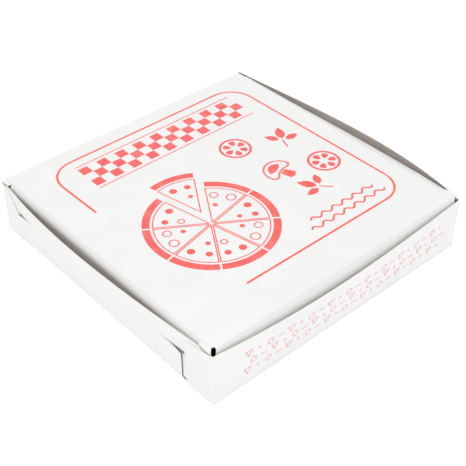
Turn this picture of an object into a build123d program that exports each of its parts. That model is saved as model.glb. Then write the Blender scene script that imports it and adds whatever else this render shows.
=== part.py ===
from build123d import *
from math import acos, cos, degrees, radians, sin, sqrt
import os

# A shallow one-piece carton with a hinged lid, folded from one sheet of paperboard.
# Millimetres, +Z up, front towards -Y. The origin is on the floor, under the middle of the box.

# Outside of the closed box
box_width = 203.2
box_depth = 203.2
box_height = 38.1

# The board, its folds and the air between layers
board = 0.5
fold_radius = 0.9
layer_gap = 0.12
fold_relief = 0.4
lid_rest_gap = 0.25

# How far the top edge of each wall bows outward at its middle, and how lopsided the bow is:
# above zero it is fuller towards the front, or on the front wall towards the right
front_bow = 5.3
front_bow_skew = -0.3
left_bow = 6.5
left_bow_skew = -0.3
right_bow = 9.1
right_bow_skew = 0.45

# The side walls' top corners are cut lower under the lid's shoulders, except at the back right
top_relief = 1.1
front_relief_length = 11.0
left_back_relief_length = 6.0
right_back_relief_length = 0
relief_slope = 1.2

# A torn nib left on the front wall's top edge where the blank was held in its sheet
nib_place = 17.5
nib_width = 1.6
nib_height = 0.5

# Corner ears: they fold round the corner from the front and back walls, outside the side walls.
# Each ear's upper edge is given as distances from its corner and heights above the floor.
ear_bottom = 0.4
ear_top_at_corner = 36.9
front_ear_edge = ((19.5, 34.8), (21.6, 24.2))
back_ear_edge = ((5.4, 36.0), (12.0, 33.2), (14.8, 27.6), (18.6, 23.6))
ear_foot_run = 2.5

# Tongues: the ears' ends, pushed through the cuts to lie against the inside of the side walls
tongue_bottom = 3.6
tongue_top_gap = 1.4
tongue_straight = 0.3
tongue_dive = 5.2
tongue_tail = 9.0
tongue_tip_radius = 7.0

# L-shaped cuts in the side walls: one leg rises from the bottom fold, one runs along the wall.
# The corner between the legs is a leaf; its free edge slants away from the cut towards its foot.
front_cut_distance = 23.3
back_cut_distance = 19.6
cut_width = 0.3
slit_height = 24.0
front_slit_end = 44.0
back_slit_end = 34.0
leaf_slant = 2.2
leaf_corner_radius = 1.6
leaf_low_level = 3.4
leaf_low_lift = 1.3
leaf_top_lift = 2.3

# Lid panel and its creases, measured inward from the box's outside
side_crease_inset = 3.3
front_crease_inset = 3.5
shoulder_overhang = 0.2
front_right_overhang = 1.4
back_right_inset = 3.0
front_shoulder_length = 12.4
back_shoulder_length = 8.0
shoulder_taper = 3.6
shoulder_root_inset = 0.6
front_crease_end_inset = 5.1
right_crease_end_inset = 1.4
right_roll_slant = 3.5
front_flap_end_inset = 1.6
slot_width = 2.0
slot_depth = 1.8
left_corner_cut = 1.7
right_corner_cut = 5.0

# Lid flaps. Each leaves its crease at a tilt and rolls over to hang inside its wall: the front
# one takes a share of its wall's bow, and the side ones reach out evenly as far as the walls let.
# A fading roll drops less and less towards the flap's two ends.
crease_tilt = 28.0
front_roll_drop = 5.2
front_flap_follow = 0.6
left_roll_drop = 4.2
left_roll_reach = 3.0
left_roll_fade = 0
right_roll_drop = 7.3
right_roll_reach = 10.2
right_roll_fade = 0.9
side_roll_clearance = 0.5
least_roll_drop = 1.6
front_flap_depth = 30.0
side_flap_depth = 28.5
front_flap_clearance = 0.35
side_flap_clearance = 1.05
front_flap_taper = 5.0
side_flap_front_taper = 10.0
side_flap_back_taper = 16.0

# The rolled folds are ruled from section to section, this many spans along each flap
flap_spans = 8

# Fold line that the lid turns on, along the top of the back wall
hinge_clearance = 0.45

# Worked out from the sizes above
half_width = box_width / 2
half_depth = box_depth / 2
wall_top = box_height - board - lid_rest_gap
side_plane = half_width - board - layer_gap
hinge_y = half_depth - board / 2
hinge_z = box_height - board / 2
side_crease = half_width - side_crease_inset
front_crease = half_depth - front_crease_inset
front_shape = (front_bow, front_bow_skew)
left_shape = (left_bow, left_bow_skew)
right_shape = (right_bow, right_bow_skew)
flat = (0, 0)


def bulge(along, half_length, bow):
    """Outward reach of a bowed edge at a distance from its middle."""
    reach, skew = bow
    share = along / half_length
    return reach * (1 - share**2) * (1 + skew * share)


def bulge_slope(along, half_length, bow):
    """How fast a bowed edge moves outward along its length."""
    reach, skew = bow
    share = along / half_length
    return reach * (skew * (1 - share**2) - 2 * share * (1 + skew * share)) / half_length


def turned(bow):
    """The same bow seen from the wall's other end."""
    reach, skew = bow
    return reach, -skew


def bow_at(height, top_bow):
    """Walls are straight at the bottom fold and lean out to their full bow at the top."""
    reach, skew = top_bow
    return reach * (height - fold_radius) / (wall_top - fold_radius), skew


def flap_stations(start, end):
    """Evenly spaced distances along a flap, ends included."""
    return [start + (end - start) * step / flap_spans for step in range(flap_spans + 1)]


def strip_face(outside):
    """A strip of board seen from above: its outer edge, and the same edge moved in by the board."""
    inside = Pos(0, board, 0) * outside
    return make_face([outside, inside, Line(outside @ 0, inside @ 0), Line(outside @ 1, inside @ 1)])


def wall_band(start, end, plane, half_length, bow, height):
    """Level section of a wall that faces -Y, between two distances from the wall's middle."""
    first = Vector(start, -plane - bulge(start, half_length, bow), height)
    last = Vector(end, -plane - bulge(end, half_length, bow), height)
    if bow[0] == 0:
        return strip_face(Line(first, last))
    third = (end - start) / 3
    leave = Vector(third, -third * bulge_slope(start, half_length, bow), 0)
    arrive = Vector(third, -third * bulge_slope(end, half_length, bow), 0)
    return strip_face(Bezier(first, first + leave, last - arrive, last))


def wall_strip(start, end, plane, half_length, top_bow, bottom, top):
    """Part of a bowed wall between two heights."""
    lower = wall_band(start, end, plane, half_length, bow_at(bottom, top_bow), bottom)
    upper = wall_band(start, end, plane, half_length, bow_at(top, top_bow), top)
    return loft([lower, upper], ruled=True)


def bend_face(radius):
    """Quarter ring of board, from straight down to straight out along -X in the sketch."""
    outer = CenterArc((0, 0), radius, 180, 90)
    inner = CenterArc((0, 0), radius - board, 180, 90)
    return make_face([outer, inner, Line(outer @ 0, inner @ 0), Line(outer @ 1, inner @ 1)])


def outline_prism(points, reach):
    """Die-cut outline in the plane of a -Y wall, as distance along and height, swept outward."""
    sketch = Plane.XZ * Polygon(*points, align=None)
    return extrude(sketch, reach, both=True)


def bottom_fold(length, plane):
    """Fold between the bottom and a wall that faces -Y."""
    axis = Plane(origin=(0, -plane + fold_radius, fold_radius), x_dir=(0, 1, 0), z_dir=(1, 0, 0))
    return extrude(axis * bend_face(fold_radius), length / 2, both=True)


def end_wall(bow, top):
    """Front or back wall, facing -Y, with the fold that joins it to the bottom."""
    half_length = half_width - fold_radius
    wall = wall_strip(-half_length, half_length, half_depth, half_length, bow, fold_radius, top)
    fold = bottom_fold(2 * (side_plane - fold_radius), half_depth)
    return [wall, fold]


def tear_nib():
    """Small tooth of board on the front wall's top edge."""
    half_length = half_width - fold_radius
    start = nib_place - nib_width / 2
    stop = nib_place + nib_width / 2
    return wall_strip(
        start, stop, half_depth, half_length, front_shape, wall_top - nib_height, wall_top + nib_height
    )


def relief_prism(end, length):
    """What is cut off a side wall's top corner at its +X end."""
    low = wall_top - top_relief
    outline = (
        (end + board, wall_top + board),
        (end + board, low),
        (half_depth - length + relief_slope, low),
        (half_depth - length, wall_top + board),
    )
    return outline_prism(outline, box_width)


def leaf(top_bow, cut_distance, slit_end):
    """Corner of a side wall between the legs of its cut, pushed outward by the tongue under it."""
    half_length = half_depth - fold_radius
    root = half_depth - slit_end
    free_corner = half_depth - cut_distance - cut_width
    foot = free_corner - leaf_slant
    leaf_top = slit_height - cut_width
    levels = ((fold_radius, 0), (leaf_low_level, leaf_low_lift), (leaf_top, leaf_top_lift))
    sections = []
    for height, lift in levels:
        share = (height - fold_radius) / (slit_height - fold_radius)
        free = foot + leaf_slant * share
        outside = []
        for x, lift_share in ((root, 0), ((root + free) / 2, 0.3), (free, 1)):
            wall = bulge(x, half_length, bow_at(slit_height, top_bow)) * share
            outside.append(Vector(x, -side_plane - wall - lift * lift_share, height))
        edge = ThreePointArc(*outside) if lift > 0 else Line(outside[0], outside[2])
        sections.append(strip_face(edge))
    blank = loft(sections, ruled=True)
    radius = leaf_corner_radius
    corner = Rectangle(2 * radius, 2 * radius) - Circle(radius)
    spandrel = Plane.XZ * Pos(free_corner - radius, leaf_top - radius) * corner
    quarter = Plane.XZ * Pos(free_corner, leaf_top) * Rectangle(2 * radius, 2 * radius)
    return blank - (extrude(spandrel, box_width, both=True) & extrude(quarter, box_width, both=True))


def side_wall(top_bow, back_relief_length):
    """Side wall facing -Y, front end at +X: an L-shaped cut near each end and the bottom fold."""
    half_length = half_depth - fold_radius
    end = half_length - fold_relief
    lower_parts = (
        (-end, back_cut_distance - half_depth),
        (back_slit_end - half_depth, half_depth - front_slit_end),
        (half_depth - front_cut_distance, end),
    )
    upper = wall_strip(-end, end, side_plane, half_length, top_bow, slit_height, wall_top)
    upper -= relief_prism(end, front_relief_length)
    if back_relief_length > 0:
        upper -= mirror(relief_prism(end, back_relief_length), about=Plane.YZ)
    lower = [
        wall_strip(start, stop, side_plane, half_length, top_bow, fold_radius, slit_height)
        for start, stop in lower_parts
    ]
    front_leaf = leaf(top_bow, front_cut_distance, front_slit_end)
    back_leaf = leaf(turned(top_bow), back_cut_distance, back_slit_end)
    back_leaf = mirror(back_leaf, about=Plane.YZ)
    return [upper, *lower, front_leaf, back_leaf, bottom_fold(2 * end, side_plane)]


def ear(top_bow, edge, cut_distance):
    """Ear at the +X end of a wall that faces -Y: corner bend, plate outside the wall, and tongue."""
    half_length = half_depth - fold_radius
    reach, top_at_tongue = edge[-1]
    root = half_depth - reach
    high_bow = bow_at(ear_top_at_corner, top_bow)
    lower = wall_band(root, half_length, half_width, half_length, flat, ear_bottom)
    upper = wall_band(root, half_length, half_width, half_length, high_bow, ear_top_at_corner)
    blank = loft([lower, upper], ruled=True)
    foot_slope = (tongue_bottom - ear_bottom) / ear_foot_run
    (last_distance, last_height) = edge[-2]
    edge_slope = (top_at_tongue - last_height) / (reach - last_distance)
    spare = 2 * board
    outline = (
        (half_depth + spare, -spare),
        (half_depth - reach + ear_foot_run + (ear_bottom + spare) / foot_slope, -spare),
        (root - spare, tongue_bottom + spare * foot_slope),
        (root - spare, top_at_tongue + spare * edge_slope),
        *[(half_depth - distance, height) for distance, height in reversed(edge[:-1])],
        (half_depth + spare, ear_top_at_corner),
    )
    plate = blank & outline_prism(outline, box_width)
    bend_axis = Plane(origin=(half_depth - fold_radius, -half_width + fold_radius, ear_bottom))
    bend = bend_axis * Rot(0, 0, 90) * bend_face(fold_radius)
    corner = extrude(bend, ear_top_at_corner - ear_bottom)
    return [plate, corner, tongue(high_bow, reach, cut_distance)]


def tongue(high_bow, ear_reach, cut_distance):
    """End of an ear, which dives through the cut to the inside of the side wall."""
    half_length = half_depth - fold_radius
    dive_start = cut_distance + tongue_straight
    dive_end = dive_start + tongue_dive
    tip_distance = dive_end + tongue_tail
    tongue_top = slit_height - tongue_top_gap
    sections = []
    for height in (tongue_bottom, tongue_top):
        share = (height - ear_bottom) / (ear_top_at_corner - ear_bottom)
        route = []
        for distance, plane in (
            (ear_reach, half_width),
            (dive_start, half_width),
            (dive_end, side_plane - board - layer_gap),
            (tip_distance, side_plane - board - layer_gap),
        ):
            x = half_depth - distance
            route.append(Vector(x, -plane - bulge(x, half_length, high_bow) * share, height))
        outside = [
            Line(route[0], route[1]),
            Spline(route[1], route[2], tangents=((-1, 0, 0), (-1, 0, 0))),
            Line(route[2], route[3]),
        ]
        inside = [Pos(0, board, 0) * edge for edge in outside]
        ends = [
            Line(route[0], route[0] + Vector(0, board, 0)),
            Line(route[3], route[3] + Vector(0, board, 0)),
        ]
        sections.append(make_face([*outside, *inside, *ends]))
    blank = loft(sections, ruled=True)
    tip = half_depth - tip_distance
    root = half_depth - ear_reach + board
    middle = (tongue_bottom + tongue_top) / 2
    outline = Rectangle(2 * (root - tip), tongue_top - tongue_bottom)
    rounded = Plane.XZ * Pos(root, middle) * fillet(outline.vertices(), tongue_tip_radius)
    return blank & extrude(rounded, box_width, both=True)


def bottom_panel():
    width = 2 * (side_plane - fold_radius)
    depth = 2 * (half_depth - fold_radius)
    return Box(width, depth, board, align=(Align.CENTER, Align.CENTER, Align.MIN))


def whole_side(top_bow, back_relief_length):
    """Side wall facing -Y with the two ears locked to it, its front end at +X."""
    back_ear = ear(turned(top_bow), back_ear_edge, back_cut_distance)
    back_ear = [mirror(piece, about=Plane.YZ) for piece in back_ear]
    front_ear = ear(top_bow, front_ear_edge, front_cut_distance)
    return [*side_wall(top_bow, back_relief_length), *front_ear, *back_ear]


def tray():
    """Bottom, walls and locked corners, as one folded sheet."""
    pieces = [bottom_panel()]
    pieces += [*end_wall(front_shape, wall_top), tear_nib()]
    pieces += [Rot(0, 0, 180) * piece for piece in end_wall(flat, hinge_z - hinge_clearance)]
    left = whole_side(left_shape, left_back_relief_length)
    right = [mirror(piece, about=Plane.YZ) for piece in whole_side(right_shape, right_back_relief_length)]
    pieces += [Rot(0, 0, -90) * piece for piece in left]
    pieces += [Rot(0, 0, 90) * piece for piece in right]
    return pieces[0].fuse(*pieces[1:])


def flap_section(station, crease, reach, drop, low_reach, depth):
    """Section through a lid fold that faces -Y: the soft roll off the panel, then the flap."""
    sweep = 90 - crease_tilt
    width = reach / (1 - cos(radians(sweep)))
    height = drop / sin(radians(sweep))
    center = (crease + reach - width, box_height - drop)
    roll = EllipticalCenterArc(center, width, height, arc_size=sweep)
    inner_width = width - board
    inner_sweep = degrees(acos((width - reach) / inner_width))
    inner_height = (drop - board) / sin(radians(inner_sweep))
    inner_roll = EllipticalCenterArc(center, inner_width, inner_height, arc_size=inner_sweep)
    low_height = box_height - depth
    low_outer = (crease + low_reach, low_height)
    low_inner = (crease + low_reach - board, low_height)
    edges = [
        roll,
        Line(roll @ 0, low_outer),
        Line(low_outer, low_inner),
        Line(low_inner, inner_roll @ 0),
        inner_roll,
        Line(inner_roll @ 1, roll @ 1),
    ]
    plane = Plane(origin=(station, 0, 0), x_dir=(0, -1, 0), z_dir=(-1, 0, 0))
    return plane * make_face(edges)


def front_flap():
    """Front roll and tuck flap, which follow the bow of the front wall and swing clear of it."""
    half_length = half_width - fold_radius
    end = half_width - front_flap_end_inset
    low_height = box_height - front_flap_depth
    margin = board + front_flap_clearance
    sections = []
    for x in flap_stations(-end, end):
        roll_bow = bow_at(box_height - front_roll_drop, front_shape)
        roll_wall = half_depth + front_flap_follow * bulge(x, half_length, roll_bow)
        low_wall = half_depth + bulge(x, half_length, bow_at(low_height, front_shape))
        top_wall = half_depth + bulge(x, half_length, front_shape)
        swing = sqrt((hinge_y + top_wall - margin) ** 2 - (hinge_z - low_height) ** 2) - hinge_y
        low_edge = min(low_wall - margin, swing)
        sections.append(
            flap_section(
                x,
                front_crease,
                roll_wall - margin - front_crease,
                front_roll_drop,
                low_edge - front_crease,
                front_flap_depth,
            )
        )
    blank = loft(sections, ruled=True)
    left_crease_end = half_width - front_crease_end_inset
    right_crease_end = half_width - right_crease_end_inset
    plan = [
        (-left_crease_end, 0),
        (-left_crease_end, -front_crease),
        (-end, -front_crease - end + left_crease_end),
        (-end, -box_depth),
        (right_crease_end - right_roll_slant, -box_depth),
        (right_crease_end - right_roll_slant, -half_depth + 2 * board),
        (right_crease_end, -front_crease),
        (right_crease_end, 0),
    ]
    roll_height = box_height - front_roll_drop
    elevation = [
        (end, box_height + board),
        (end, roll_height),
        (end - front_flap_taper, low_height - board),
    ]
    plan_prism = extrude(Polygon(*plan, align=None), box_depth, both=True)
    return blank & plan_prism & outline_prism(mirrored(elevation), box_depth)


def side_flap(top_bow, full_drop, fade, most_reach):
    """Side roll and flap of the lid, facing -Y, inboard of the side wall and its tongues."""
    half_length = half_depth - fold_radius
    front_end = half_depth - front_shoulder_length
    back_end = -half_depth + back_shoulder_length
    low_height = box_height - side_flap_depth
    margin = board + side_flap_clearance
    sections = []
    for x in flap_stations(back_end, front_end):
        near_end = abs(x) / front_end
        roll_drop = max(least_roll_drop, full_drop * (1 - fade * near_end**3))
        roll_wall = side_plane + bulge(x, half_length, bow_at(box_height - roll_drop, top_bow))
        low_wall = side_plane + bulge(x, half_length, bow_at(low_height, top_bow))
        roll_reach = min(most_reach, roll_wall - board - side_roll_clearance - side_crease)
        low_reach = low_wall - margin - side_crease
        section = flap_section(x, side_crease, roll_reach, roll_drop, low_reach, side_flap_depth)
        sections.append(section)
    blank = loft(sections, ruled=True)
    roll_height = box_height - full_drop
    elevation = (
        (front_end, box_height + board),
        (front_end, roll_height),
        (front_end - side_flap_front_taper, low_height - board),
        (back_end + side_flap_back_taper, low_height - board),
        (back_end, roll_height),
        (back_end, box_height + board),
    )
    return blank & outline_prism(elevation, box_width)


def mirrored(half):
    """Closed outline from its half at +X, listed from one end of the middle line to the other."""
    return [*half, *[(-x, y) for x, y in reversed(half)]]


def lid_panel():
    """Flat top of the lid, with shoulders that lie over the wall tops at its four corners."""
    shoulder_edge = half_width + shoulder_overhang
    right_shoulder_edge = half_width + front_right_overhang
    shoulder_root = half_width - shoulder_root_inset
    front_shoulder = -half_depth + front_shoulder_length
    back_shoulder = half_depth - back_shoulder_length
    crease_end = half_width - front_crease_end_inset
    slot_back = -front_crease + slot_depth
    slot_side = crease_end + slot_width
    left_cut = -half_depth + left_corner_cut
    back_edge = hinge_y - hinge_clearance
    left = [
        (-half_width + front_crease_end_inset, -front_crease),
        (-crease_end, slot_back),
        (-slot_side, slot_back),
        (-shoulder_edge, left_cut),
        (-shoulder_edge, front_shoulder - shoulder_taper),
        (-shoulder_root, front_shoulder),
        (-side_crease, front_shoulder),
        (-side_crease, back_shoulder),
        (-shoulder_root, back_shoulder),
        (-shoulder_edge, back_shoulder + shoulder_taper),
        (-shoulder_edge, back_edge),
    ]
    right = [
        (half_width - right_crease_end_inset, -front_crease),
        (right_shoulder_edge, -half_depth + right_corner_cut),
        (right_shoulder_edge, front_shoulder - shoulder_taper),
        (shoulder_root, front_shoulder),
        (side_crease, front_shoulder),
        (side_crease, back_shoulder),
        (half_width - back_right_inset, back_shoulder),
        (half_width - back_right_inset, back_edge),
    ]
    sheet = extrude(Polygon(*left, *reversed(right), align=None), board, dir=(0, 0, 1))
    return Pos(0, 0, box_height - board) * sheet


def lid():
    """Top panel, rolled creases and tuck flaps, as one folded sheet."""
    left = side_flap(left_shape, left_roll_drop, left_roll_fade, left_roll_reach)
    right = side_flap(right_shape, right_roll_drop, right_roll_fade, right_roll_reach)
    right = mirror(right, about=Plane.YZ)
    return lid_panel().fuse(front_flap(), Rot(0, 0, -90) * left, Rot(0, 0, 90) * right)


os.makedirs("parts", exist_ok=True)
export_step(tray(), "parts/tray.step")
export_step(lid(), "parts/lid.step")
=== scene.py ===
import math

import bmesh
import bpy
from mathutils import Matrix, Vector
from mathutils.bvhtree import BVHTree


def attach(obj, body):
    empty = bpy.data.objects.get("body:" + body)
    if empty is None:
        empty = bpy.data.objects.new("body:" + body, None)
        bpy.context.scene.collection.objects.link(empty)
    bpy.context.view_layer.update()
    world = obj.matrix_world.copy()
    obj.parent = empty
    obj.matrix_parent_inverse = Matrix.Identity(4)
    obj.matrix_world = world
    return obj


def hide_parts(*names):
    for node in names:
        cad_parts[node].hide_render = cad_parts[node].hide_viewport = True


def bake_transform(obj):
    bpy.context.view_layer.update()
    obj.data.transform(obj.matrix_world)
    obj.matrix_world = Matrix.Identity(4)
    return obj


# A closed paperboard pizza box: white clay coat outside, bare kraft inside, plain red print.
# Metres, +Z up, front towards -Y.

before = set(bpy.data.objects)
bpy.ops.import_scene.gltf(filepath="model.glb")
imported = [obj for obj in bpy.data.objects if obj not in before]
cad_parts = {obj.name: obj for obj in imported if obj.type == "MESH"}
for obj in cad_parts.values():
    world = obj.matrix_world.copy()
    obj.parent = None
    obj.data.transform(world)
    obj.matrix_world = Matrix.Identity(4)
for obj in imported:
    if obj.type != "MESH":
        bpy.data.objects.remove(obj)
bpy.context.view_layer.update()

MM = 0.001
BOARD = 0.5 * MM
HALF_WIDTH = 101.6 * MM
HALF_DEPTH = 101.6 * MM
TOP = 38.1 * MM

# Creases, as (axis, place along it): 0 is X and 1 is Y
LID_CREASES = ((1, -98.1 * MM), (0, -98.3 * MM), (0, 98.3 * MM))
TRAY_CREASES = ((0, -100.1 * MM), (0, 100.1 * MM), (1, -100.7 * MM), (1, 100.7 * MM))


# Camera: fitted to the box's outline, rims and front left corner in the photograph

CAMERA_PLACE = Vector((-0.34184, -0.38057, 0.42448))
VIEW_DIRECTION = Vector((0.51851, 0.57131, -0.63621))
VIEW_RIGHT = Vector((0.74486, -0.66718, 0.00794))
LENS_MM = 79.36
SENSOR_MM = 36.0


def make_camera():
    forward = VIEW_DIRECTION.normalized()
    right = (VIEW_RIGHT - VIEW_RIGHT.dot(forward) * forward).normalized()
    up = right.cross(forward)
    data = bpy.data.cameras.new("camera")
    data.lens = LENS_MM
    data.sensor_width = SENSOR_MM
    data.clip_start = 0.01
    data.clip_end = 20
    camera = bpy.data.objects.new("camera", data)
    turn = Matrix((right, up, -forward)).transposed().to_4x4()
    camera.matrix_world = Matrix.Translation(CAMERA_PLACE) @ turn
    bpy.context.collection.objects.link(camera)
    bpy.context.scene.camera = camera


# Node helpers


def new_material(name):
    material = bpy.data.materials.new(name)
    material.use_nodes = True
    nodes = material.node_tree.nodes
    nodes.clear()
    output = nodes.new("ShaderNodeOutputMaterial")
    shader = nodes.new("ShaderNodeBsdfPrincipled")
    material.node_tree.links.new(shader.outputs["BSDF"], output.inputs["Surface"])
    return material, shader


def noise(material, scale, detail=4.0, roughness=0.55, stretch=(1, 1, 1)):
    nodes, links = material.node_tree.nodes, material.node_tree.links
    place = nodes.new("ShaderNodeTexCoord")
    mapping = nodes.new("ShaderNodeMapping")
    mapping.inputs["Scale"].default_value = stretch
    texture = nodes.new("ShaderNodeTexNoise")
    texture.inputs["Scale"].default_value = scale
    texture.inputs["Detail"].default_value = detail
    texture.inputs["Roughness"].default_value = roughness
    links.new(place.outputs["Object"], mapping.inputs["Vector"])
    links.new(mapping.outputs["Vector"], texture.inputs["Vector"])
    return texture.outputs["Fac"]


def ramp(material, value, stops):
    nodes, links = material.node_tree.nodes, material.node_tree.links
    node = nodes.new("ShaderNodeValToRGB")
    elements = node.color_ramp.elements
    while len(elements) < len(stops):
        elements.new(0.5)
    for element, (position, color) in zip(elements, stops):
        element.position = position
        element.color = (*color, 1)
    links.new(value, node.inputs["Fac"])
    return node.outputs["Color"]


def mix(material, kind, factor, first, second):
    nodes, links = material.node_tree.nodes, material.node_tree.links
    node = nodes.new("ShaderNodeMix")
    node.data_type = "RGBA"
    node.blend_type = kind
    inputs = (node.inputs[0], node.inputs[6], node.inputs[7])
    for socket, value in zip(inputs, (factor, first, second)):
        if isinstance(value, (int, float, tuple)):
            socket.default_value = value
        else:
            links.new(value, socket)
    return node.outputs[2]


def bump(material, height, distance, strength=1.0, under=None):
    nodes, links = material.node_tree.nodes, material.node_tree.links
    node = nodes.new("ShaderNodeBump")
    node.inputs["Strength"].default_value = strength
    node.inputs["Distance"].default_value = distance
    links.new(height, node.inputs["Height"])
    if under is not None:
        links.new(under, node.inputs["Normal"])
    return node.outputs["Normal"]


def linear(red, green, blue):
    """Linear colour of an sRGB one given as 0 to 255."""
    def channel(value):
        value /= 255
        return value / 12.92 if value <= 0.04045 else ((value + 0.055) / 1.055) ** 2.4
    return (channel(red), channel(green), channel(blue))


def math_node(material, operation, first, second=0.0):
    nodes, links = material.node_tree.nodes, material.node_tree.links
    node = nodes.new("ShaderNodeMath")
    node.operation = operation
    for socket, value in ((node.inputs[0], first), (node.inputs[1], second)):
        if isinstance(value, (int, float)):
            socket.default_value = value
        else:
            links.new(value, socket)
    return node.outputs[0]


def fade(material, value, full, none):
    """1 where value is at full, 0 where it is at none, smooth between."""
    nodes, links = material.node_tree.nodes, material.node_tree.links
    node = nodes.new("ShaderNodeMapRange")
    node.interpolation_type = "SMOOTHSTEP"
    node.inputs["From Min"].default_value = none
    node.inputs["From Max"].default_value = full
    links.new(value, node.inputs["Value"])
    return node.outputs["Result"]


def axes(material):
    """The object's own X, Y and Z in metres."""
    nodes, links = material.node_tree.nodes, material.node_tree.links
    place = nodes.new("ShaderNodeTexCoord")
    split = nodes.new("ShaderNodeSeparateXYZ")
    links.new(place.outputs["Object"], split.inputs[0])
    return split.outputs


def crease(material, axis, place, half_width):
    """1 along a crease, 0 away from it."""
    offset = math_node(material, "SUBTRACT", axes(material)[axis], place)
    return fade(material, math_node(material, "ABSOLUTE", offset), 0.0, half_width)


def tinted(material, color, where, amount, tone):
    """The colour moved towards an sRGB tone, by the amount where the mask is 1."""
    factor = math_node(material, "MULTIPLY", where, amount)
    return mix(material, "MIX", factor, color, (*linear(*tone), 1))


# Materials, their colours as sRGB 0 to 255

COAT = (246, 246, 245)
COAT_SHADE = (243, 243, 242)
# Painted shade on the roll just past the lid's creases
COAT_ROLL_SHADE = (231, 231, 230)
# Painted warm bounce light deep on the tucked side flaps
COAT_BOUNCE_LIGHT = (252, 246, 238)
COAT_CRACK = (214, 206, 196)
# Painted shade along the lid's creases
COAT_CREASE_SHADE = (222, 220, 217)
KRAFT_DARK = (166, 158, 151)
KRAFT_PALE = (178, 170, 163)
KRAFT_CREASE = (196, 186, 174)
CUT_DARK = (243, 236, 226)
CUT_PALE = (252, 248, 243)
RED_INK = (249, 106, 101)
RED_INK_THIN = (252, 132, 126)
PALE_INK = (238, 186, 197)
PALE_INK_THIN = (241, 204, 212)

WRINKLES_FROM = TOP - 0.2 * MM
WRINKLES_FULL = TOP - 1.4 * MM
ROLL_UNEVENNESS = 0.3 * MM
# Sides of the lid that carry the painted bounce light
SIDE_FLAPS_FROM = 97 * MM
SIDE_FLAPS_FULL = 98 * MM


def rolled_coat(material, color, normal):
    """The coat where the lid rolls over its creases and tucks into the tray.

    It is wrinkled and cracked. Just past the crease the roll carries painted shade, and the tucked
    sides carry painted warm bounce light, which makes them paler and warmer.
    """
    level = axes(material)[2]
    drop = fade(material, level, WRINKLES_FULL, WRINKLES_FROM)
    ripple = noise(material, 160, detail=4, stretch=(1, 1, 0.35))
    ripple = math_node(material, "MULTIPLY", ripple, drop)
    normal = bump(material, ripple, 0.5 * MM, 0.35, under=normal)
    crack = fade(material, noise(material, 700, detail=5, roughness=0.75), 0.30, 0.36)
    color = tinted(material, color, math_node(material, "MULTIPLY", crack, drop), 0.35, COAT_CRACK)

    # Painted shade: the roll just past the crease is darkened, for the shade that falls as it turns
    # away from the light; the upper edge of this shade wobbles a little.
    uneven = math_node(material, "MULTIPLY", noise(material, 250, detail=3), ROLL_UNEVENNESS)
    edge = math_node(material, "ADD", level, uneven)
    rolled = math_node(material, "MULTIPLY", fade(material, edge, TOP - 0.05 * MM, TOP + 0.05 * MM),
                       fade(material, level, TOP - 0.5 * MM, TOP - 4 * MM))
    color = tinted(material, color, rolled, 0.8, COAT_ROLL_SHADE)

    # Painted warm bounce light: deep on the tucked side flaps the coat is made paler and warmer, as
    # by light thrown back from the kraft inside the walls.
    tucked = math_node(material, "MULTIPLY", fade(material, level, TOP - 4.5 * MM, TOP - 2.5 * MM),
                       fade(material, level, TOP - 7 * MM, TOP - 10 * MM))
    aside = math_node(material, "ABSOLUTE", axes(material)[0])
    tucked = math_node(material, "MULTIPLY", tucked,
                       fade(material, aside, SIDE_FLAPS_FULL, SIDE_FLAPS_FROM))
    return tinted(material, color, tucked, 0.9, COAT_BOUNCE_LIGHT), normal


def coated_board(name, creases=(), rolled=False):
    """White clay coat: smooth, faintly mottled, with the fine tooth of calendered board."""
    material, shader = new_material(name)
    links = material.node_tree.links
    cloud = noise(material, 35, detail=5)
    color = ramp(material, cloud, [(0.35, linear(*COAT_SHADE)), (0.65, linear(*COAT))])
    speck = noise(material, 900, detail=2)
    fleck = ramp(material, speck, [(0.22, (0.88, 0.86, 0.84)), (0.27, (1, 1, 1))])
    color = mix(material, "MULTIPLY", 0.5, color, fleck)
    normal = bump(material, noise(material, 2600, detail=3), 0.02 * MM, 0.3)
    normal = bump(material, noise(material, 14, detail=1), 0.6 * MM, 0.25, under=normal)
    if rolled:
        color, normal = rolled_coat(material, color, normal)
    for axis, place in creases:
        line = crease(material, axis, place, 0.45 * MM)
        pressed = math_node(material, "MULTIPLY", line, -1.0)
        normal = bump(material, pressed, 0.12 * MM, 0.8, under=normal)
        # Painted shade: the crease's line is also darkened, for the shade in its groove.
        color = tinted(material, color, line, 0.35, COAT_CREASE_SHADE)
    links.new(color, shader.inputs["Base Color"])
    dull = ramp(material, cloud, [(0.3, (0.42,) * 3), (0.7, (0.52,) * 3)])
    links.new(dull, shader.inputs["Roughness"])
    links.new(normal, shader.inputs["Normal"])
    shader.inputs["Specular IOR Level"].default_value = 0.3
    return material


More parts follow.
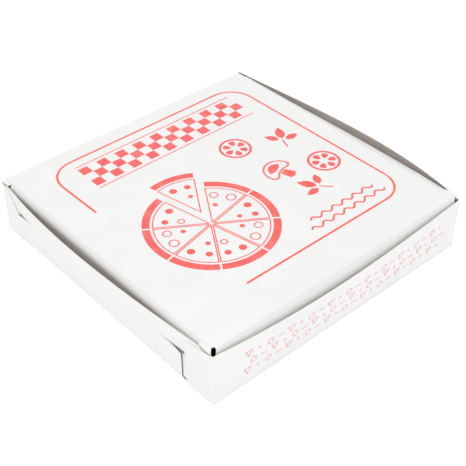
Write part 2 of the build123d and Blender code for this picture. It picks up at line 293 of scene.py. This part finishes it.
def kraft_board(name, creases):
    """Uncoated brown-grey back of the board, with matted fibres, dark flecks and pale shives.

    On this side the creases stand up as low beads, paler where the fibres are stretched.
    """
    material, shader = new_material(name)
    links = material.node_tree.links
    fibre_one = noise(material, 420, detail=6, stretch=(1, 6, 1))
    fibre_two = noise(material, 420, detail=6, stretch=(6, 1, 1))
    cloud = noise(material, 30, detail=4)
    color = ramp(material, cloud, [(0.3, linear(*KRAFT_DARK)), (0.7, linear(*KRAFT_PALE))])
    tint_one = ramp(material, fibre_one, [(0.35, (0.80, 0.78, 0.75)), (0.6, (1, 1, 1))])
    tint_two = ramp(material, fibre_two, [(0.35, (0.86, 0.84, 0.82)), (0.6, (1, 1, 1))])
    color = mix(material, "MULTIPLY", 0.7, color, tint_one)
    color = mix(material, "MULTIPLY", 0.7, color, tint_two)
    speck = noise(material, 650, detail=3)
    fleck = ramp(material, speck, [(0.29, (0.66, 0.58, 0.50)), (0.34, (1, 1, 1))])
    color = mix(material, "MULTIPLY", 0.6, color, fleck)
    splinter = noise(material, 240, detail=4, stretch=(1, 3, 1))
    shive = ramp(material, splinter, [(0.68, (0, 0, 0)), (0.74, (0.10, 0.09, 0.075))])
    color = mix(material, "ADD", 0.6, color, shive)
    normal = bump(material, fibre_one, 0.06 * MM, 0.5)
    for axis, place in creases:
        bead = crease(material, axis, place, 0.6 * MM)
        normal = bump(material, bead, 0.25 * MM, 0.9, under=normal)
        color = tinted(material, color, bead, 0.35, KRAFT_CREASE)
    links.new(color, shader.inputs["Base Color"])
    shader.inputs["Roughness"].default_value = 0.85
    shader.inputs["Specular IOR Level"].default_value = 0.2
    links.new(normal, shader.inputs["Normal"])
    return material


def cut_board(name):
    """Die-cut edge, where the layers of the board show between the white coat and the kraft."""
    material, shader = new_material(name)
    links = material.node_tree.links
    layers = noise(material, 1500, detail=3)
    color = ramp(material, layers, [(0.3, linear(*CUT_DARK)), (0.7, linear(*CUT_PALE))])
    links.new(color, shader.inputs["Base Color"])
    shader.inputs["Roughness"].default_value = 0.9
    shader.inputs["Specular IOR Level"].default_value = 0.15
    links.new(bump(material, layers, 0.05 * MM, 0.6), shader.inputs["Normal"])
    return material


def ink_film(name, tone, paler):
    """Thin ink on clay coat, laid unevenly: paler where the plate pressed lightly."""
    material, shader = new_material(name)
    links = material.node_tree.links
    cloud = noise(material, 120, detail=5)
    grain = noise(material, 1500, detail=2)
    color = ramp(material, cloud, [(0.30, linear(*paler)), (0.52, linear(*tone))])
    speck = ramp(material, grain, [(0.26, linear(*paler)), (0.36, linear(*tone))])
    color = mix(material, "LIGHTEN", 0.5, color, speck)
    links.new(color, shader.inputs["Base Color"])
    shader.inputs["Roughness"].default_value = 0.42
    shader.inputs["Specular IOR Level"].default_value = 0.3
    links.new(bump(material, grain, 0.02 * MM, 0.3), shader.inputs["Normal"])
    return material


# Shown copies of the folded sheets, with outside, inside and cut edges told apart


# A face is wide where another one looks back at it through the thickness of the board
SKIN = 0.02 * BOARD
THROUGH = 1.5 * BOARD
FACING_BACK = -0.85
SHEET_SHARP_ANGLE = math.radians(17)
FOLD_SHARP_ANGLE = math.radians(40)


def dress(node, name, body, outside, inside, cut):
    """Copy of a node's own mesh, its faces told apart by what they show."""
    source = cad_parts[node]
    mesh = bpy.data.meshes.new(name)
    sheet = bmesh.new()
    sheet.from_mesh(source.data)
    bmesh.ops.remove_doubles(sheet, verts=sheet.verts, dist=1e-6)
    tree = BVHTree.FromBMesh(sheet)
    middle = Vector((0, 0, TOP / 2))
    for face in sheet.faces:
        center = face.calc_center_median()
        start = center - SKIN * face.normal
        _, hit_normal, _, distance = tree.ray_cast(start, -face.normal, THROUGH)
        is_wide = distance is not None and hit_normal.dot(face.normal) < FACING_BACK
        if not is_wide:
            face.material_index = 2
        elif face.normal.dot(center - middle) > 0:
            face.material_index = 0
        else:
            face.material_index = 1
        face.smooth = True
    sheet.to_mesh(mesh)
    sheet.free()
    for material in (outside, inside, cut):
        mesh.materials.append(material)
    mesh.set_sharp_from_angle(angle=SHEET_SHARP_ANGLE)
    piece = bpy.data.objects.new(name, mesh)
    bpy.context.collection.objects.link(piece)
    weighted = piece.modifiers.new("weighted", "WEIGHTED_NORMAL")
    weighted.keep_sharp = True
    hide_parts(node)
    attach(piece, body)


# Fold that joins the back wall to the lid, as it lies with the lid shut

HINGE_INSIDE_Y = 100.9 * MM
HINGE_FOOT_Z = 37.4 * MM
HINGE_LEFT = -100.7 * MM
HINGE_RIGHT = 100.4 * MM
HINGE_OUTER = 0.7 * MM
HINGE_STEPS = 8


def hinge_fold(outside, inside, cut):
    """Quarter ring of board along the back, one end on the wall's top and one on the lid's edge."""
    mesh = bpy.data.meshes.new("hinge_fold")
    strip = bmesh.new()
    rows = []
    for x in (HINGE_LEFT, HINGE_RIGHT):
        for radius in (HINGE_OUTER, HINGE_OUTER - BOARD):
            row = []
            for step in range(HINGE_STEPS + 1):
                angle = 0.5 * math.pi * step / HINGE_STEPS
                y = HINGE_INSIDE_Y + radius * math.cos(angle)
                z = HINGE_FOOT_Z + radius * math.sin(angle)
                row.append(strip.verts.new((x, y, z)))
            rows.append(row)
    left_out, left_in, right_out, right_in = rows
    for step in range(HINGE_STEPS):
        quads = (
            ((left_out[step], right_out[step], right_out[step + 1], left_out[step + 1]), 0),
            ((right_in[step], left_in[step], left_in[step + 1], right_in[step + 1]), 1),
            ((left_in[step], left_out[step], left_out[step + 1], left_in[step + 1]), 2),
            ((right_out[step], right_in[step], right_in[step + 1], right_out[step + 1]), 2),
        )
        for corners, index in quads:
            face = strip.faces.new(corners)
            face.material_index = index
            face.smooth = index < 2
    for step in (0, HINGE_STEPS):
        face = strip.faces.new((left_out[step], left_in[step], right_in[step], right_out[step]))
        face.material_index = 2
    bmesh.ops.recalc_face_normals(strip, faces=strip.faces)
    strip.to_mesh(mesh)
    strip.free()
    for material in (outside, inside, cut):
        mesh.materials.append(material)
    mesh.set_sharp_from_angle(angle=FOLD_SHARP_ANGLE)
    fold = bpy.data.objects.new("hinge_fold", mesh)
    bpy.context.collection.objects.link(fold)
    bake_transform(fold)


# Print: thin slabs of ink, each a little proud of the board and sunk a little into it

INK_PROUD = 0.012 * MM
INK_SUNK = 0.03 * MM


class Ink:
    """Collects flat shapes in sheet millimetres and lays them on a surface as one closed mesh."""

    def __init__(self, surface):
        self.surface = surface
        self.mesh = bmesh.new()

    def _ring(self, points):
        upper = [self.mesh.verts.new(self.surface(x, y, INK_PROUD)) for x, y in points]
        lower = [self.mesh.verts.new(self.surface(x, y, -INK_SUNK)) for x, y in points]
        return upper, lower

    def fill(self, points):
        upper, lower = self._ring(points)
        self.mesh.faces.new(upper)
        self.mesh.faces.new(list(reversed(lower)))
        for i in range(len(points)):
            j = (i + 1) % len(points)
            self.mesh.faces.new((upper[j], upper[i], lower[i], lower[j]))

    def stroke(self, points, width, closed=False):
        """A line of even width along points; its corners are mitred."""
        count = len(points)
        left, right = [], []
        for i, (x, y) in enumerate(points):
            if closed:
                before, after = points[i - 1], points[(i + 1) % count]
            else:
                before, after = points[max(i - 1, 0)], points[min(i + 1, count - 1)]
            first = Vector((x - before[0], y - before[1]))
            second = Vector((after[0] - x, after[1] - y))
            first = first.normalized() if first.length > 1e-9 else second.normalized()
            second = second.normalized() if second.length > 1e-9 else first
            along = (first + second).normalized()
            across = Vector((-along.y, along.x))
            reach = width / 2 / max(across.dot(Vector((-first.y, first.x))), 0.4)
            left.append((x + across.x * reach, y + across.y * reach))
            right.append((x - across.x * reach, y - across.y * reach))
        left_up, left_down = self._ring(left)
        right_up, right_down = self._ring(right)
        for i in range(count if closed else count - 1):
            j = (i + 1) % count
            self.mesh.faces.new((right_up[i], right_up[j], left_up[j], left_up[i]))
            self.mesh.faces.new((left_down[i], left_down[j], right_down[j], right_down[i]))
            self.mesh.faces.new((left_up[i], left_up[j], left_down[j], left_down[i]))
            self.mesh.faces.new((right_up[j], right_up[i], right_down[i], right_down[j]))
        if not closed:
            self.mesh.faces.new((left_up[0], left_down[0], right_down[0], right_up[0]))
            self.mesh.faces.new((right_up[-1], right_down[-1], left_down[-1], left_up[-1]))

    def piece(self, name, body, slot, material):
        bmesh.ops.recalc_face_normals(self.mesh, faces=self.mesh.faces)
        mesh = bpy.data.meshes.new(name)
        self.mesh.to_mesh(mesh)
        self.mesh.free()
        mesh.materials.append(material)
        piece = bpy.data.objects.new(name, mesh)
        bpy.context.collection.objects.link(piece)
        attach(piece, body)


def polar(center, radius, angle):
    return (center[0] + radius * math.cos(angle), center[1] + radius * math.sin(angle))


def arc(center, radius, start, end, steps):
    """Points along an arc, its angles in degrees anticlockwise from +X."""
    points = []
    for step in range(steps + 1):
        angle = math.radians(start + (end - start) * step / steps)
        points.append(polar(center, radius, angle))
    return points


def disc(center, radius, steps=24):
    return arc(center, radius, 0, 360, steps)[:-1]


def placed(points, center, turn):
    """Points turned about the origin and moved to a centre."""
    cosine, sine = math.cos(math.radians(turn)), math.sin(math.radians(turn))
    return [(center[0] + x * cosine - y * sine, center[1] + x * sine + y * cosine)
            for x, y in points]


def on_lid(x, y, lift):
    """Lid millimetres from the box's left and front sides."""
    return Vector((x * MM - HALF_WIDTH, y * MM - HALF_DEPTH, TOP + lift))


tray_tree = BVHTree.FromPolygons(
    [vertex.co.copy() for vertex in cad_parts["tray"].data.vertices],
    [tuple(face.vertices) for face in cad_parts["tray"].data.polygons],
)


def on_front_wall(x, z, lift):
    """Front wall millimetres from the box's left side and from the floor."""
    start = Vector((x * MM - HALF_WIDTH, -2 * HALF_DEPTH, z * MM))
    place, normal, _, _ = tray_tree.ray_cast(start, Vector((0, 1, 0)))
    return place + lift * normal


# Widths of the printed lines and sizes of the motifs, in millimetres
FRAME_LINE = 1.5
FINE_LINE = 0.8
CHECK_CELL = 7.2
CHECK_COLUMNS = 18
CHECK_ROWS = 3
CHECK_GAP = 0.02
RULE_GAP = 2.6
ROUND_RADIUS = 42
ROUND_SLICES = 8
CRUST_WIDTH = 6.4
SLICE_GAP = 1.6
SLICE_DRAWN_OUT = 13


def frame_line(ink):
    """Rounded border, open at the front left where the round motif fills its corner."""
    points = [(25.4, 137), (25, 165)]
    points += arc((43, 172.3), 18, 180, 90, 10)
    points += arc((166.6, 172.3), 18, 90, 0, 10)
    points += [(185, 150), (186.4, 66)]
    points += arc((168.6, 48), 18, 0, -90, 10)
    points += [(51, 30)]
    ink.stroke(points, FRAME_LINE)


def check_band(ink):
    """Checked strip between two rules."""
    left, low = 42.0, 158.5
    right = left + CHECK_COLUMNS * CHECK_CELL
    high = low + CHECK_ROWS * CHECK_CELL
    for column in range(CHECK_COLUMNS):
        for row in range(CHECK_ROWS):
            if (column + row) % 2 == 0:
                x, y = left + column * CHECK_CELL + CHECK_GAP, low + row * CHECK_CELL + CHECK_GAP
                side = CHECK_CELL - 2 * CHECK_GAP
                ink.fill([(x, y), (x + side, y), (x + side, y + side), (x, y + side)])
    for y in (low - RULE_GAP, high + RULE_GAP):
        ink.stroke([(left, y), (right, y)], FINE_LINE)


def topped_round(ink, center):
    """Round flat bread cut into slices, with one slice drawn out."""
    drawn_out = 1
    step = 360 / ROUND_SLICES
    toppings = ((0.40, -0.15, 2.0), (0.64, 0.19, 3.0), (0.63, -0.22, 2.6))
    for index in range(ROUND_SLICES):
        start, end = 12 + index * step, 12 + (index + 1) * step
        shift = SLICE_DRAWN_OUT if index == drawn_out else SLICE_GAP
        middle = math.radians((start + end) / 2)
        tip = polar(center, shift, middle)
        crust_inner = arc(tip, ROUND_RADIUS - CRUST_WIDTH, start, end, 7)
        crust_outer = arc(tip, ROUND_RADIUS - SLICE_GAP, start, end, 8)
        ink.fill(crust_outer + list(reversed(crust_inner)))
        edge = [tip] + arc(tip, ROUND_RADIUS - CRUST_WIDTH - 1.8, start, end, 7)
        ink.stroke(edge, FINE_LINE, closed=True)
        for along, across, size in toppings:
            angle = middle + across * (0.9 if index % 2 else -1.0)
            place = polar(tip, ROUND_RADIUS * along, angle)
            if (index + int(along * 10)) % 3 == 0:
                ink.stroke(disc(place, size, 16), FINE_LINE, closed=True)
            else:
                ink.fill(disc(place, size * 0.85, 16))


def leaf_sprig(ink, center, turn):
    """Three pointed leaves on one stem."""
    half = [(2.4, 2.4), (3.2, 5.4), (2.6, 8.4)]
    blade = [(0, 0), *half, (0, 12.5), *((-x, y) for x, y in reversed(half))]
    for spread, scale in ((-60, 0.85), (0, 1.05), (60, 0.85)):
        leaf = placed([(x * scale, y * scale + 2.6) for x, y in blade], (0, 0), spread)
        ink.fill(placed(leaf, center, turn))
    ink.stroke(placed([(0, 1.2), (0.4, -3.0), (1.6, -7.5)], center, turn), 1.1)


def cut_tomato(ink, center, turn):
    """Round slice with a rind, six seed pockets and a core."""
    ink.stroke(placed(disc((0, 0), 10.2, 32), center, turn), 1.7, closed=True)
    half = [(4.2, 1.5), (6.6, 2.4), (8.2, 1.3)]
    pocket = [(2.6, 0), *half, *((x, -y) for x, y in reversed(half))]
    for index in range(6):
        ink.fill(placed(placed(pocket, (0, 0), 60 * index), center, turn))


def cut_mushroom(ink, center, turn):
    """Cap in outline, with its shade and its stalk filled in."""
    cap = arc((0, 0), 10.5, 0, 180, 18)
    cap += [(-9.2, -2.2), (-6.6, -2.6), (-3.4, -1.0), (0, -0.6)]
    cap += [(3.4, -1.0), (6.6, -2.6), (9.2, -2.2)]
    ink.stroke(placed(cap, center, turn), 1.3, closed=True)
    stalk = [(-2.8, -1.8), (2.8, -1.8), (3.6, -9.5), (0, -10.8), (-3.6, -9.5)]
    ink.fill(placed(stalk, center, turn))
    shade = arc((0, 1.4), 6.6, 20, 160, 10) + [(-3.6, 2.0), (0, 1.6), (3.6, 2.0)]
    ink.fill(placed(shade, center, turn))


def wave_line(ink, left, right, y, periods):
    """Level wavy line."""
    points = []
    steps = periods * 10
    for step in range(steps + 1):
        share = step / steps
        lift = 1.5 * math.sin(2 * math.pi * periods * share)
        points.append((left + (right - left) * share, y + lift))
    ink.stroke(points, 1.3)


def lid_print(material):
    """Places are millimetres from the lid's left and front sides, turns are degrees."""
    ink = Ink(on_lid)
    frame_line(ink)
    check_band(ink)
    topped_round(ink, (71, 83))
    cut_tomato(ink, (134, 132), 10)
    leaf_sprig(ink, (164, 118), -30)
    cut_mushroom(ink, (139, 95), 24)
    cut_tomato(ink, (168, 84), 40)
    leaf_sprig(ink, (147, 66), 35)
    wave_line(ink, 118, 172, 46, 6)
    wave_line(ink, 112, 176, 39, 7)
    ink.piece("lid_print", "lid", "lid_board", material)


def divided(points, closed=False, longest=0.8):
    """The same line with points between, so that it follows the bow of the wall."""
    result = []
    ends = points[1:] + points[:1] if closed else points[1:]
    for (x, y), (next_x, next_y) in zip(points, ends):
        parts = max(1, math.ceil(math.hypot(next_x - x, next_y - y) / longest))
        for part in range(parts):
            share = part / parts
            result.append((x + (next_x - x) * share, y + (next_y - y) * share))
    return result if closed else result + points[-1:]


WALL_ROWS = (11.5, 18.5, 25.5)
WALL_COLUMNS = 22
WALL_LEFT = 24
WALL_PITCH = 7.6
WALL_HALF_MARK = 2.4
WALL_LINE = 1.0


def wall_print(material):
    """Paler rows of small slices, rings, dots and bars along the front wall."""
    ink = Ink(on_front_wall)
    for row, z in enumerate(WALL_ROWS):
        for column in range(WALL_COLUMNS):
            x = WALL_LEFT + column * WALL_PITCH + (WALL_PITCH / 2 if row == 1 else 0)
            left, right = x - WALL_HALF_MARK, x + WALL_HALF_MARK
            kind = (column + 2 * row) % 4
            if kind == 0:
                corners = [(left, z + 2.0), (x, z - 2.4), (right, z + 2.0)]
                ink.stroke(divided(corners, closed=True), WALL_LINE, closed=True)
            elif kind == 1:
                ink.fill(disc((x, z), 1.1, 12))
            elif kind == 2:
                ink.stroke(disc((x, z), 2.0, 18), 0.9 * WALL_LINE, closed=True)
            else:
                ink.stroke(divided([(left, z), (right, z)]), 1.1 * WALL_LINE)
    ink.piece("wall_print", "tray", "tray_board", material)


# Studio

WORLD_STRENGTH = 0.66
# Name, place, size and power of each round lamp; all aim at the origin
LAMPS = (
    ("key_lamp", (-0.2, 0, 1.5), 1.2, 7.5),
    ("front_lamp", (0.6, -1.7, 0.2), 1.0, 5.5),
    ("left_lamp", (-1.55, -0.7, 0.3), 1.0, 5.35),
)

FLOOR_RADIUS = 4
FLOOR_ALBEDO = 0.92
# The floor shows this much whiter to the eye than its light makes it, and keeps its shadow
FLOOR_LIFT = 0.3
# Beyond the object's shadow it turns as white as the world behind it, so no horizon shows
FLOOR_SHADED_TO = 0.45
FLOOR_WHITE_FROM = 1.2


def background_rays(nodes, links):
    """1 on the rays that show the background: to the camera, off gloss and through glass."""
    path = nodes.new("ShaderNodeLightPath")
    seen = path.outputs["Is Camera Ray"]
    for kind in ("Is Glossy Ray", "Is Transmission Ray"):
        most = nodes.new("ShaderNodeMath")
        most.operation = "MAXIMUM"
        links.new(seen, most.inputs[0])
        links.new(path.outputs[kind], most.inputs[1])
        seen = most.outputs[0]
    return seen


def make_studio():
    scene = bpy.context.scene
    scene.view_settings.view_transform = "Standard"
    world = bpy.data.worlds.new("studio")
    scene.world = world
    world.use_nodes = True
    nodes, links = world.node_tree.nodes, world.node_tree.links
    nodes.clear()
    output = nodes.new("ShaderNodeOutputWorld")
    soft = nodes.new("ShaderNodeBackground")
    soft.inputs["Color"].default_value = (1, 1, 1, 1)
    soft.inputs["Strength"].default_value = WORLD_STRENGTH
    seen = nodes.new("ShaderNodeBackground")
    seen.inputs["Color"].default_value = (1, 1, 1, 1)
    seen.inputs["Strength"].default_value = 1.0
    chosen = nodes.new("ShaderNodeMixShader")
    links.new(background_rays(nodes, links), chosen.inputs["Fac"])
    links.new(soft.outputs[0], chosen.inputs[1])
    links.new(seen.outputs[0], chosen.inputs[2])
    links.new(chosen.outputs[0], output.inputs["Surface"])
    for name, place, size, power in LAMPS:
        data = bpy.data.lights.new(name, "AREA")
        data.shape = "DISK"
        data.size = size
        data.energy = power
        lamp = bpy.data.objects.new(name, data)
        lamp.location = place
        lamp.rotation_euler = (-Vector(place)).to_track_quat("-Z", "Y").to_euler()
        bpy.context.collection.objects.link(lamp)


def make_floor():
    bpy.ops.mesh.primitive_circle_add(vertices=96, radius=FLOOR_RADIUS, fill_type="NGON")
    floor = bpy.context.object
    floor.name = "floor"
    material, shader = new_material("floor_white")
    shader.inputs["Base Color"].default_value = (FLOOR_ALBEDO, FLOOR_ALBEDO, FLOOR_ALBEDO, 1)
    shader.inputs["Roughness"].default_value = 1.0
    shader.inputs["Specular IOR Level"].default_value = 0.0
    nodes, links = material.node_tree.nodes, material.node_tree.links
    output = next(node for node in nodes if node.type == "OUTPUT_MATERIAL")
    lift = nodes.new("ShaderNodeEmission")
    lift.inputs["Strength"].default_value = FLOOR_LIFT
    both = nodes.new("ShaderNodeAddShader")
    links.new(shader.outputs[0], both.inputs[0])
    links.new(lift.outputs[0], both.inputs[1])
    place = nodes.new("ShaderNodeTexCoord")
    distance = nodes.new("ShaderNodeVectorMath")
    distance.operation = "LENGTH"
    links.new(place.outputs["Object"], distance.inputs[0])
    far = fade(material, distance.outputs["Value"], FLOOR_WHITE_FROM, FLOOR_SHADED_TO)
    plain = nodes.new("ShaderNodeEmission")
    shown = nodes.new("ShaderNodeMixShader")
    links.new(far, shown.inputs["Fac"])
    links.new(both.outputs[0], shown.inputs[1])
    links.new(plain.outputs[0], shown.inputs[2])
    chosen = nodes.new("ShaderNodeMixShader")
    links.new(background_rays(nodes, links), chosen.inputs["Fac"])
    links.new(shader.outputs[0], chosen.inputs[1])
    links.new(shown.outputs[0], chosen.inputs[2])
    links.new(chosen.outputs[0], output.inputs["Surface"])
    floor.data.materials.append(material)


make_camera()
make_studio()
make_floor()
white = coated_board("coated_white")
lid_white = coated_board("coated_white_lid", LID_CREASES, rolled=True)
tray_kraft = kraft_board("kraft_tray", TRAY_CREASES)
lid_kraft = kraft_board("kraft_lid", LID_CREASES)
edge = cut_board("cut_edge")
dress("tray", "tray_sheet", "tray", white, tray_kraft, edge)
dress("lid", "lid_sheet", "lid", lid_white, lid_kraft, edge)
hinge_fold(white, lid_kraft, edge)
lid_print(ink_film("red_ink", RED_INK, RED_INK_THIN))
wall_print(ink_film("pale_ink", PALE_INK, PALE_INK_THIN))
